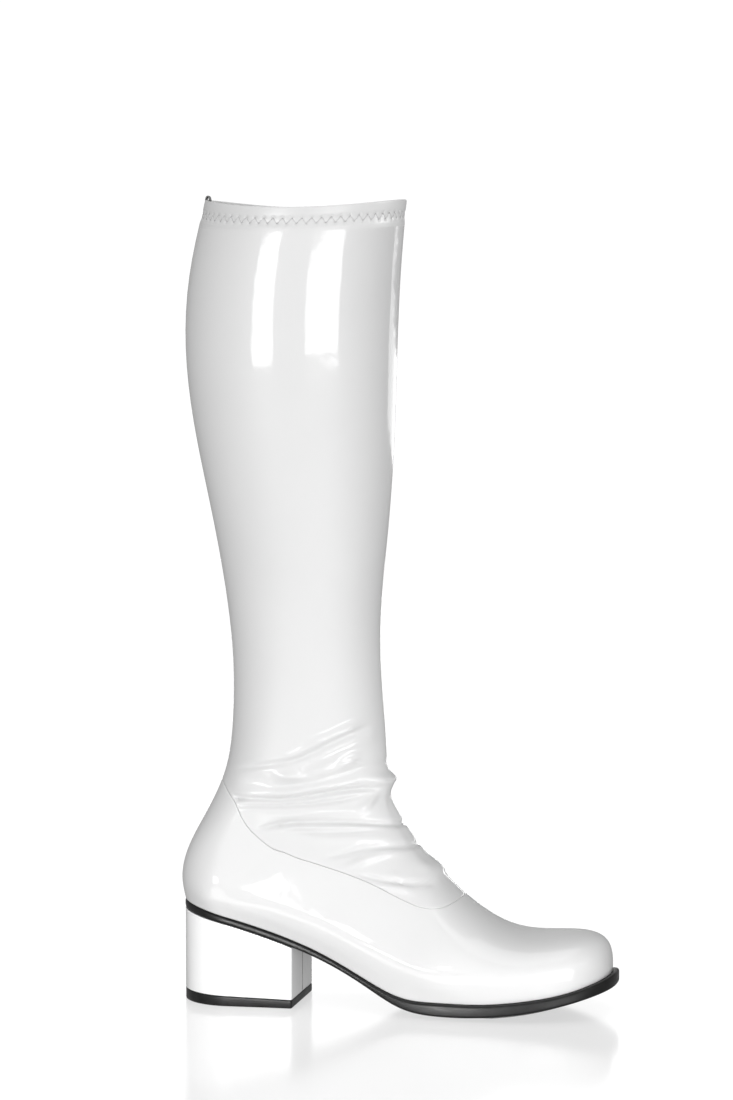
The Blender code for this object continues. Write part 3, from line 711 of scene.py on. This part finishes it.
def heel_lines(inset, groove):
    """Outline of the heel from the middle of its breast round to its back, with rounded breast corners."""
    stations = HEEL_LENGTH * (1 - np.sin(np.linspace(0.0, math.pi / 2, HEEL_STATIONS)))
    out = sole_ledge(stations) - HEEL_INSET - inset
    front = HEEL_LENGTH - inset
    lines = []
    for side, half in zip((-1.0, 1.0), feather(stations)):
        line = moved_out(stations, half, out, from_toe=False)
        wide = line[0, 1]
        turn = np.linspace(math.pi / 2, 0.0, CORNER_TURNS)
        arc_x = front - HEEL_CORNER + HEEL_CORNER * np.sin(turn)
        arc_y = wide - HEEL_CORNER + HEEL_CORNER * np.cos(turn)
        middle = [(front - groove, BREAST_SPLIT), (front, BREAST_SPLIT + groove)]
        kept = line[line[:, 0] < front - HEEL_CORNER - CORNER_ROOM]
        line = np.concatenate([middle, np.column_stack([arc_x, arc_y]), kept])
        line[:, 1] *= side
        lines.append(line)
    return lines


# Meshes


def new_piece(name, points, faces, materials, face_materials=None):
    """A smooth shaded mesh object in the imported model's frame, with coincident points made one."""
    mesh = bpy.data.meshes.new(name)
    mesh.from_pydata([tuple(point) for point in np.asarray(points) + SHIFT], [], faces)
    for material in materials:
        mesh.materials.append(material)
    if face_materials is not None:
        mesh.polygons.foreach_set("material_index", face_materials)
    shape = bmesh.new()
    shape.from_mesh(mesh)
    bmesh.ops.remove_doubles(shape, verts=shape.verts, dist=MERGE_DISTANCE)
    bmesh.ops.dissolve_degenerate(shape, edges=shape.edges, dist=MERGE_DISTANCE)
    shape.to_mesh(mesh)
    shape.free()
    mesh.shade_smooth()
    thing = bpy.data.objects.new(name, mesh)
    bpy.context.scene.collection.objects.link(thing)
    return thing


def grid_faces(rows, columns, wrap=False):
    """Quads of a grid of points. With wrap, the last row joins the first."""
    faces = []
    for i in range(rows if wrap else rows - 1):
        for j in range(columns - 1):
            near = i * columns + j
            far = (i + 1) % rows * columns + j
            faces.append((near, near + 1, far + 1, far))
    return faces


def add_upper(patent, lining):
    """The foot part, a wall of its real thickness."""
    grid = upper_grid()
    rows, columns = grid.shape[:2]
    thing = new_piece("upper_skin", grid.reshape(-1, 3), grid_faces(rows, columns), [patent, lining])
    wall = thing.modifiers.new("wall", "SOLIDIFY")
    wall.thickness = FOOT_WALL
    wall.offset = -1.0
    wall.material_offset = 1
    return thing


def wall_piece(name, outer, inner, rolled, materials):
    """A wall from its outer grid, an optional rolled top edge and some of the rows of its inner grid."""
    columns = outer.shape[1]
    kept = np.unique(np.append(np.arange(0, len(inner), LINING_STEP), len(inner) - 1))
    rows = np.concatenate([outer, *rolled, inner[::-1][kept]])
    faces = grid_faces(len(rows), columns, wrap=True)
    outside = (len(rows) - len(kept)) * (columns - 1)
    slots = [0 if i < outside else 1 for i in range(len(faces))]
    thing = new_piece(name, rows.reshape(-1, 3), faces, materials, slots)
    thing.data.set_sharp_from_angle(angle=WALL_CREASE)
    return thing


def add_shaft(patent, lining):
    """The stretch shaft from the seam to the hem."""
    outer, inner = shaft_grid()
    return wall_piece("shaft_skin", outer, inner, [], [patent, lining])


def add_hem(patent, lining):
    """The turned hem at the collar, drawn in by its stitches, with a rolled top edge."""
    places, depths = needle_holes()
    around = np.linspace(-1.0, 1.0, HEM_COLUMNS)[None, :]
    depth = np.linspace(HEM_BAND, 0.0, HEM_ROWS)[:, None]
    points, normal = hem_point(*np.broadcast_arrays(depth, around))
    length = np.interp(around[0], *hem_measure())
    holes = np.interp(places, *hem_measure())
    nearest = np.abs(length[:, None] - holes[None, :]).argsort(axis=1)[:, :2]
    for k in range(2):
        aside = length - holes[nearest[:, k]]
        below = depth - depths[nearest[:, k]][None, :]
        dimple = DIMPLE_DEPTH * np.exp(-(aside[None, :] ** 2 + below**2) / DIMPLE_SPREAD**2)
        points = points - normal * dimple[..., None]
    top = points[-1] - normal[-1] * SHAFT_WALL / 2
    rolled = []
    for turn in np.linspace(0.0, math.pi, HEM_TURNS + 1)[1:-1]:
        lean = normal[-1] * math.cos(turn) + np.array([0.0, 0.0, 1.0]) * math.sin(turn)
        rolled.append((top + lean * SHAFT_WALL / 2)[None])
    return wall_piece("hem_band", points, points - normal * SHAFT_WALL, rolled, [patent, lining])


def add_slab(name, levels, material, crease):
    """A solid from stacked outlines. Each level is a pair of side lines and the heights along them."""
    points = []
    for (lateral, medial), height in levels:
        loop = np.concatenate([lateral, medial[::-1]])
        points.append(np.column_stack([loop, height(loop[:, 0])]))
    count = len(points[0])
    last = count - 1
    faces = []
    for level in range(len(levels) - 1):
        for j in range(count):
            near = level * count + j
            far = level * count + (j + 1) % count
            faces.append((near, near + count, far + count, far))
    above = (len(levels) - 1) * count
    for j in range(count // 2 - 1):
        faces.append((j, j + 1, last - j - 1, last - j))
        faces.append((above + last - j, above + last - j - 1, above + j + 1, above + j))
    thing = new_piece(name, np.concatenate(points), faces, [material])
    thing.data.set_sharp_from_angle(angle=crease)
    return thing


def add_outsole(rubber):
    """The sole with its rounded edge and its tread set in from the edge."""
    stations = UPPER_LENGTH * (1 + np.cos(np.linspace(0.0, math.pi, SOLE_STATIONS))) / 2
    ledge = sole_ledge(stations)
    levels = [(side_lines(stations, ledge - TREAD_INSET), sole_tread)]
    turns = np.linspace(0.0, math.pi / 2, SOLE_TURNS)
    rounding = [(SOLE_EDGE * (1 - math.sin(turn)), SOLE_EDGE * (1 - math.cos(turn))) for turn in turns]
    for inset, raised in rounding:
        levels.append((side_lines(stations, ledge - inset), lambda x, raised=raised: sole_edge(x) + raised))
    for inset, lowered in rounding[::-1]:
        levels.append((side_lines(stations, ledge - inset), lambda x, lowered=lowered: sole_top(x) - lowered))
    return add_slab("outsole_fine", levels, rubber, SOLE_CREASE)


def add_heel(patent, groove_shade):
    """The covered heel block, with a groove where the cover's ends meet at the breast, its faces painted dark
    grey as painted shade.
    """
    levels = []
    for inset, height in ((HEEL_EDGE, 0.0), (0.3 * HEEL_EDGE, 0.3 * HEEL_EDGE), (0.0, HEEL_EDGE)):
        lines = heel_lines(inset, BREAST_GROOVE)
        levels.append((lines, lambda x, height=height: lift_top(x) + GAP + height))
    levels.append((heel_lines(0.0, BREAST_GROOVE), lambda x: sole_tread(x) - GAP))
    heel = add_slab("heel_cover", levels, patent, HEEL_CREASE)
    # painted shade: the groove's faces take the dark grey tape, standing in for the shade inside the groove
    heel.data.materials.append(groove_shade)
    for face in heel.data.polygons:
        if abs(face.center.y) < BREAST_GROOVE and abs(face.normal.z) < 0.5 and face.normal.x > 0:
            face.material_index = 1
    return heel


def add_lift(rubber):
    """The wear piece under the heel, with both edges broken."""
    levels = []
    for inset, height in ((LIFT_EDGE, 0.0), (LIFT_EDGE / 3, LIFT_EDGE / 3), (0.0, LIFT_EDGE)):
        levels.append((heel_lines(inset, 0.0), lambda x, height=height: np.full_like(x, height)))
    for inset, lowered in ((0.0, LIFT_TOP_EDGE), (LIFT_TOP_EDGE, 0.0)):
        levels.append((heel_lines(inset, 0.0), lambda x, lowered=lowered: lift_top(x) - lowered))
    return add_slab("top_lift_fine", levels, rubber, HEEL_CREASE)


def hem_point(depth, around):
    """A point on the hem, with the surface's normal."""
    row = TOP_ROW - depth / COLLAR_ROW_HEIGHT
    normal = surface_normal(row, around)
    return last_surface(row, around) + normal * hem_lift(depth)[..., None], normal


def hem_measure():
    """Places round the collar and how far they lie along the row of stitches."""
    around = np.linspace(-1.0, 1.0, HEM_SAMPLES)
    line, _ = hem_point(np.full_like(around, (STITCH_TOP + STITCH_LOW) / 2), around)
    length = np.concatenate([[0.0], np.cumsum(np.linalg.norm(np.diff(line, axis=0), axis=-1))])
    return around, length


def needle_holes():
    """Places round the collar and depths of the zig-zag's needle holes."""
    around, length = hem_measure()
    count = 2 * int(length[-1] / STITCH_STEP / 2)
    places = np.interp(np.linspace(0.0, length[-1], count + 1), length, around)
    depths = np.where(np.arange(count + 1) % 2 == 0, STITCH_TOP, STITCH_LOW)
    return places, depths


def tube_faces(rings, sides, first=0):
    """Faces of a tube with closed ends, whose points start at the number first."""
    faces = []
    for k in range(rings - 1):
        low = first + k * sides
        for m in range(sides):
            after = (m + 1) % sides
            faces.append((low + m, low + after, low + sides + after, low + sides + m))
    last = first + (rings - 1) * sides
    faces.append(tuple(range(first, first + sides))[::-1])
    faces.append(tuple(range(last, last + sides)))
    return faces


def add_stitches(thread):
    """The zig-zag row that holds the hem, each stitch a short arched thread between two needle holes."""
    places, depths = needle_holes()
    count = len(places) - 1
    rings = STITCH_RINGS
    sides = STITCH_SIDES
    points = []
    faces = []
    for i in range(count):
        share = np.linspace(0.0, 1.0, rings)
        depth = depths[i] + (depths[i + 1] - depths[i]) * share
        centre, normal = hem_point(depth, places[i] + (places[i + 1] - places[i]) * share)
        centre = centre + normal * (STITCH_ARCH * (np.sin(share * math.pi) - 1))[:, None]
        along = np.gradient(centre, axis=0)
        across = unit(np.cross(along, normal))
        faces += tube_faces(rings, sides, len(points))
        for k in range(rings):
            for m in range(sides):
                turn = 2 * math.pi * m / sides
                spoke = normal[k] * math.cos(turn) + across[k] * math.sin(turn)
                points.append(centre[k] + STITCH_RADIUS * spoke)
    return new_piece("hem_stitches", points, faces, [thread])


def add_tab(tape):
    """The tape folded over the rim at the back, where the hem's ends meet."""
    rim_point, normal = hem_point(np.array([0.0]), np.array([1.0]))
    out = unit(normal[0] * np.array([1.0, 0.0, 0.0]))
    up = np.array([0.0, 0.0, 1.0])
    wide = np.array([0.0, 1.0, 0.0])
    middle = rim_point[0] - out * SHAFT_WALL / 2
    arch = np.linspace(0.0, math.pi, TAB_ARCH_POINTS)
    reach = SHAFT_WALL / 2 + TAB_THICK / 2 + TAB_ROOM
    path = [(reach, -depth) for depth in np.linspace(TAB_DEPTH, 0.0, TAB_LEG_STEPS, endpoint=False)]
    path += [(reach * math.cos(turn), TAB_RISE * math.sin(turn)) for turn in arch]
    path += [(-reach, -depth) for depth in np.linspace(0.0, TAB_DEPTH, TAB_LEG_STEPS + 1)[1:]]
    path = np.array(path)
    along = unit(np.gradient(path, axis=0))
    sides = TAB_SIDES
    points = []
    for (aside, height), (step_aside, step_height) in zip(path, along):
        lean = 0.0
        if height <= 0:
            lean = heel_line((rim_point[0][2] + height - GAP) / MM) * MM - rim_point[0][0]
        draw = hem_lift(np.array([-height]))[0] if height < 0 else 0.0
        centre = middle + out * (aside + draw) + up * height + np.array([lean, 0.0, 0.0])
        thick = out * step_height - up * step_aside
        for m in range(sides):
            turn = 2 * math.pi * m / sides
            edge = np.sign(math.cos(turn)) * abs(math.cos(turn)) ** TAB_SQUARENESS
            face = np.sign(math.sin(turn)) * abs(math.sin(turn)) ** TAB_SQUARENESS
            points.append(centre + wide * edge * TAB_WIDTH / 2 + thick * face * TAB_THICK / 2)
    return new_piece("collar_tape", points, tube_faces(len(path), sides), [tape])


# Materials


def fill(tree, node, **values):
    """Sets a node's inputs, and links those that are given another node's output."""
    for name, value in values.items():
        socket = node.inputs[name.replace("_", " ")]
        if isinstance(value, bpy.types.NodeSocket):
            tree.links.new(value, socket)
        else:
            socket.default_value = value


def new_node(tree, kind, **values):
    node = tree.nodes.new("ShaderNode" + kind)
    fill(tree, node, **values)
    return node


class Nodes:
    """Short calls for a material's node tree."""

    def __init__(self, name):
        self.material = bpy.data.materials.new(name)
        self.material.use_nodes = True
        self.tree = self.material.node_tree
        self.shader = self.tree.nodes["Principled BSDF"]
        self.place = new_node(self.tree, "TexCoord").outputs["Object"]

    def set(self, **values):
        fill(self.tree, self.shader, **values)

    def noise(self, scale, detail=2.0, stretch=None):
        place = self.place
        if stretch is not None:
            place = new_node(self.tree, "Mapping", Vector=place, Scale=stretch).outputs["Vector"]
        return new_node(self.tree, "TexNoise", Vector=place, Scale=scale, Detail=detail).outputs["Fac"]

    def wave(self, scale, direction):
        node = new_node(self.tree, "TexWave", Vector=self.place, Scale=scale)
        node.bands_direction = direction
        return node.outputs["Fac"]

    def ramp(self, value, low, high):
        """Colour that runs from low to high where a noise does."""
        node = new_node(self.tree, "ValToRGB", Fac=value)
        for element, position, colour in zip(node.color_ramp.elements, NOISE_RANGE, (low, high)):
            element.position = position
            element.color = (*colour, 1.0)
        return node.outputs["Color"]

    def span(self, value, low, high):
        """Number that runs from low to high where a noise does."""
        node = new_node(self.tree, "MapRange", Value=value, To_Min=low, To_Max=high)
        fill(self.tree, node, From_Min=NOISE_RANGE[0], From_Max=NOISE_RANGE[1])
        return node.outputs["Result"]

    def add(self, first, second):
        node = new_node(self.tree, "Math")
        node.operation = "ADD"
        self.tree.links.new(first, node.inputs[0])
        self.tree.links.new(second, node.inputs[1])
        return node.outputs["Value"]

    def bump(self, height, distance):
        node = new_node(self.tree, "Bump", Height=height, Strength=1.0, Distance=distance)
        return node.outputs["Normal"]


def grey(tone):
    return (tone, tone, tone)


def patent_material(name, white, blur):
    """White patent: a soft white body under a clear gloss, with a faint unevenness in the gloss."""
    nodes = Nodes(name)
    nodes.set(
        Base_Color=nodes.ramp(nodes.noise(scale=18.0, detail=3.0), grey(white * 0.97), grey(white)),
        Roughness=0.4,
        Coat_Weight=1.0,
        Coat_Roughness=blur,
        Coat_IOR=1.5,
        Coat_Normal=nodes.bump(nodes.noise(scale=70.0), 0.12 * MM),
        Normal=nodes.bump(nodes.noise(scale=600.0), 0.03 * MM),
    )
    return nodes.material


def rubber_material(name):
    """Black sole edge with a satin polish and fine scuffs."""
    nodes = Nodes(name)
    scuffs = nodes.noise(scale=90.0, detail=5.0, stretch=(1.0, 1.0, 6.0))
    nodes.set(
        Base_Color=nodes.ramp(nodes.noise(scale=240.0, detail=4.0), grey(0.003), grey(0.009)),
        Roughness=nodes.span(scuffs, 0.34, 0.46),
        Coat_Weight=0.05,
        Coat_Roughness=0.25,
        Specular_IOR_Level=0.3,
        Normal=nodes.bump(nodes.noise(scale=900.0, detail=3.0), 0.04 * MM),
    )
    return nodes.material


def lining_material(name):
    """Knitted backing of the stretch patent, seen inside the boot."""
    nodes = Nodes(name)
    yarn = nodes.noise(scale=500.0, detail=3.0)
    knit = nodes.add(nodes.wave(260.0, "Z"), nodes.wave(260.0, "DIAGONAL"))
    nodes.set(
        Base_Color=nodes.ramp(yarn, (0.72, 0.72, 0.71), (0.82, 0.82, 0.81)),
        Roughness=0.9,
        Sheen_Weight=0.3,
        Sheen_Roughness=0.5,
        Normal=nodes.bump(knit, 0.1 * MM),
    )
    return nodes.material


def thread_material(name):
    """White sewing thread with its twist."""
    nodes = Nodes(name)
    nodes.set(
        Base_Color=nodes.ramp(nodes.noise(scale=1500.0), grey(0.6), grey(0.74)),
        Roughness=0.55,
        Sheen_Weight=0.2,
        Normal=nodes.bump(nodes.wave(900.0, "DIAGONAL"), 0.05 * MM),
    )
    return nodes.material


def tape_material(name):
    """Grey woven tape, also used as painted shade on the faces of the heel breast's groove."""
    nodes = Nodes(name)
    weave = nodes.add(nodes.wave(700.0, "Z"), nodes.wave(700.0, "Y"))
    nodes.set(
        Base_Color=nodes.ramp(nodes.noise(scale=900.0, detail=3.0), grey(0.2), grey(0.3)),
        Roughness=0.8,
        Sheen_Weight=0.2,
        Normal=nodes.bump(weave, 0.06 * MM),
    )
    return nodes.material


def sock_material(name):
    """Pale sock lining with a soft brushed face."""
    nodes = Nodes(name)
    clouds = nodes.noise(scale=160.0, detail=4.0)
    nodes.set(
        Base_Color=nodes.ramp(clouds, (0.66, 0.65, 0.63), (0.76, 0.75, 0.73)),
        Roughness=0.75,
        Sheen_Weight=0.2,
        Normal=nodes.bump(nodes.noise(scale=700.0, detail=3.0), 0.08 * MM),
    )
    return nodes.material


def floor_material(name):
    """Plain white sweep with a faint polish that mirrors the boot."""
    nodes = Nodes(name)
    nodes.set(
        Base_Color=nodes.ramp(nodes.noise(scale=3.0), grey(0.28), grey(0.3)),
        Roughness=0.9,
        Specular_IOR_Level=0.0,
        Emission_Color=WHITE,
        Emission_Strength=0.775,
    )
    polish = new_node(nodes.tree, "BsdfGlossy", Color=WHITE, Roughness=0.15)
    both = new_node(nodes.tree, "MixShader", Fac=0.2)
    nodes.tree.links.new(nodes.shader.outputs["BSDF"], both.inputs[1])
    nodes.tree.links.new(polish.outputs["BSDF"], both.inputs[2])
    fill(nodes.tree, nodes.tree.nodes["Material Output"], Surface=both.outputs["Shader"])
    return nodes.material


# Stage


def add_floor():
    """A round white floor. It neither lights the boot nor hides it from the lights that lie below it."""
    turns = np.linspace(0.0, 2 * math.pi, FLOOR_CORNERS, endpoint=False)
    rim = [(FLOOR_RADIUS * math.cos(turn), FLOOR_RADIUS * math.sin(turn), 0.0) for turn in turns]
    mesh = bpy.data.meshes.new("floor")
    mesh.from_pydata(rim, [], [tuple(range(len(rim)))])
    mesh.materials.append(floor_material("white_sweep"))
    floor = bpy.data.objects.new("floor", mesh)
    scene.collection.objects.link(floor)
    floor.visible_diffuse = False
    floor.visible_glossy = False
    floor.visible_shadow = False
    return floor


def add_studio():
    """The camera sees a white studio, while the boot is lit by a dimmer one."""
    world = bpy.data.worlds.new("studio")
    world.use_nodes = True
    scene.world = world
    tree = world.node_tree
    seen = tree.nodes["Background"]
    fill(tree, seen, Color=WHITE, Strength=BACKGROUND_STRENGTH)
    toward = new_node(tree, "VectorMath")
    toward.operation = "DOT_PRODUCT"
    toward.inputs[1].default_value = TOWARD_CAMERA
    tree.links.new(new_node(tree, "TexCoord").outputs["Generated"], toward.inputs[0])
    turned = new_node(tree, "MapRange", Value=toward.outputs["Value"], From_Min=-1.0, From_Max=1.0)
    tones = new_node(tree, "ValToRGB", Fac=turned.outputs["Result"])
    while len(tones.color_ramp.elements) < len(STUDIO_TONES):
        tones.color_ramp.elements.new(0.5)
    for element, (position, tone) in zip(tones.color_ramp.elements, STUDIO_TONES):
        element.position = position
        element.color = (tone, tone, tone, 1.0)
    lit = new_node(tree, "Background", Color=tones.outputs["Color"], Strength=STUDIO_STRENGTH)
    mix = new_node(tree, "MixShader", Fac=new_node(tree, "LightPath").outputs["Is Camera Ray"])
    tree.links.new(lit.outputs["Background"], mix.inputs[1])
    tree.links.new(seen.outputs["Background"], mix.inputs[2])
    fill(tree, tree.nodes["World Output"], Surface=mix.outputs["Shader"])


def add_light(name, size, brightness, spot, aim):
    """A rectangular light that the camera doesn't see, of the given brightness all over its face."""
    light = bpy.data.lights.new(name, "AREA")
    light.shape = "RECTANGLE"
    light.size = size[0]
    light.size_y = size[1]
    light.energy = brightness * math.pi * size[0] * size[1]
    lamp = bpy.data.objects.new(name, light)
    lamp.location = spot
    lamp.rotation_euler = (Vector(aim) - lamp.location).to_track_quat("-Z", "Y").to_euler()
    lamp.visible_camera = False
    scene.collection.objects.link(lamp)
    return lamp


def add_softbox(box, shown):
    """An upright light that faces the boot, and that shows on the named things alone where it names some."""
    angle = math.radians(box.azimuth)
    away = box.distance * np.array([math.sin(angle), -math.cos(angle), 0.0])
    middle = LIGHT_CENTRE + np.array([0.0, 0.0, (box.low + box.high) / 2])
    lamp = add_light(box.name, (box.width, box.high - box.low), box.brightness, middle + away, middle)
    lamp.visible_glossy = box.name not in FILLS
    lamp.visible_diffuse = box.name not in MIRRORED
    if box.shows_on:
        receivers = bpy.data.collections.new(box.name + "_shown_on")
        for name in box.shows_on:
            receivers.objects.link(shown[name])
        lamp.light_linking.receiver_collection = receivers


def add_camera():
    """The camera at the photo's angle."""
    camera = bpy.data.cameras.new("camera")
    camera.sensor_width = SENSOR_WIDTH
    camera.lens = CAMERA_FOCUS * SENSOR_WIDTH / PHOTO_HEIGHT
    eye = bpy.data.objects.new("camera", camera)
    aim = CAMERA_AIM + SHIFT
    spot = aim + CAMERA_DISTANCE * TOWARD_CAMERA
    eye.location = (spot[0], spot[1], CAMERA_HEIGHT)
    eye.rotation_euler = (Vector(aim) - eye.location).to_track_quat("-Z", "Y").to_euler()
    scene.collection.objects.link(eye)
    scene.camera = eye


# Build

scene = bpy.context.scene
scene.view_settings.view_transform = "Standard"

patent = patent_material("white_patent", PATENT_WHITE, FOOT_BLUR)
stretch_patent = patent_material("stretch_patent", PATENT_WHITE, SHAFT_BLUR)
# painted light: the heel's copy of the patent is set whiter than the rest
lit_heel_patent = patent_material("lit_heel_patent", HEEL_LIT_WHITE, FOOT_BLUR)
# painted shade: the hem's copy of the patent is set darker than the shaft's
shaded_hem_patent = patent_material("shaded_hem_patent", HEM_SHADED_WHITE, HEM_BLUR)
rubber = rubber_material("black_rubber")
lining = lining_material("knit_lining")
thread = thread_material("white_thread")
sock = sock_material("sock_lining")
tape = tape_material("grey_tape")

pieces = {
    "upper": (add_upper(patent, lining), "patent"),
    "shaft": (add_shaft(stretch_patent, lining), "patent"),
    "outsole": (add_outsole(rubber), "rubber"),
    # the tape's dark grey is painted shade in the heel breast's groove
    "heel_block": (add_heel(lit_heel_patent, tape), "heel_cover"),
    "top_lift": (add_lift(rubber), "rubber"),
}
for node, (piece, slot) in pieces.items():
    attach(piece, "root")
    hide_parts(node)

hem = add_hem(shaded_hem_patent, lining)
for piece in (hem, add_stitches(thread), add_tab(tape)):
    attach(piece, "root")

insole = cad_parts["insole"]
insole.data.materials.clear()
insole.data.materials.append(sock)

shown = {node: piece for node, (piece, _) in pieces.items()}
shown["hem"] = hem
shown["floor"] = add_floor()
add_studio()
for box in SOFTBOXES:
    add_softbox(box, shown)
overhead = LIGHT_CENTRE + np.array([0.0, 0.0, OVERHEAD_HEIGHT])
add_light("overhead", (OVERHEAD_SIZE, OVERHEAD_SIZE), OVERHEAD_BRIGHTNESS, overhead, LIGHT_CENTRE)
add_camera()
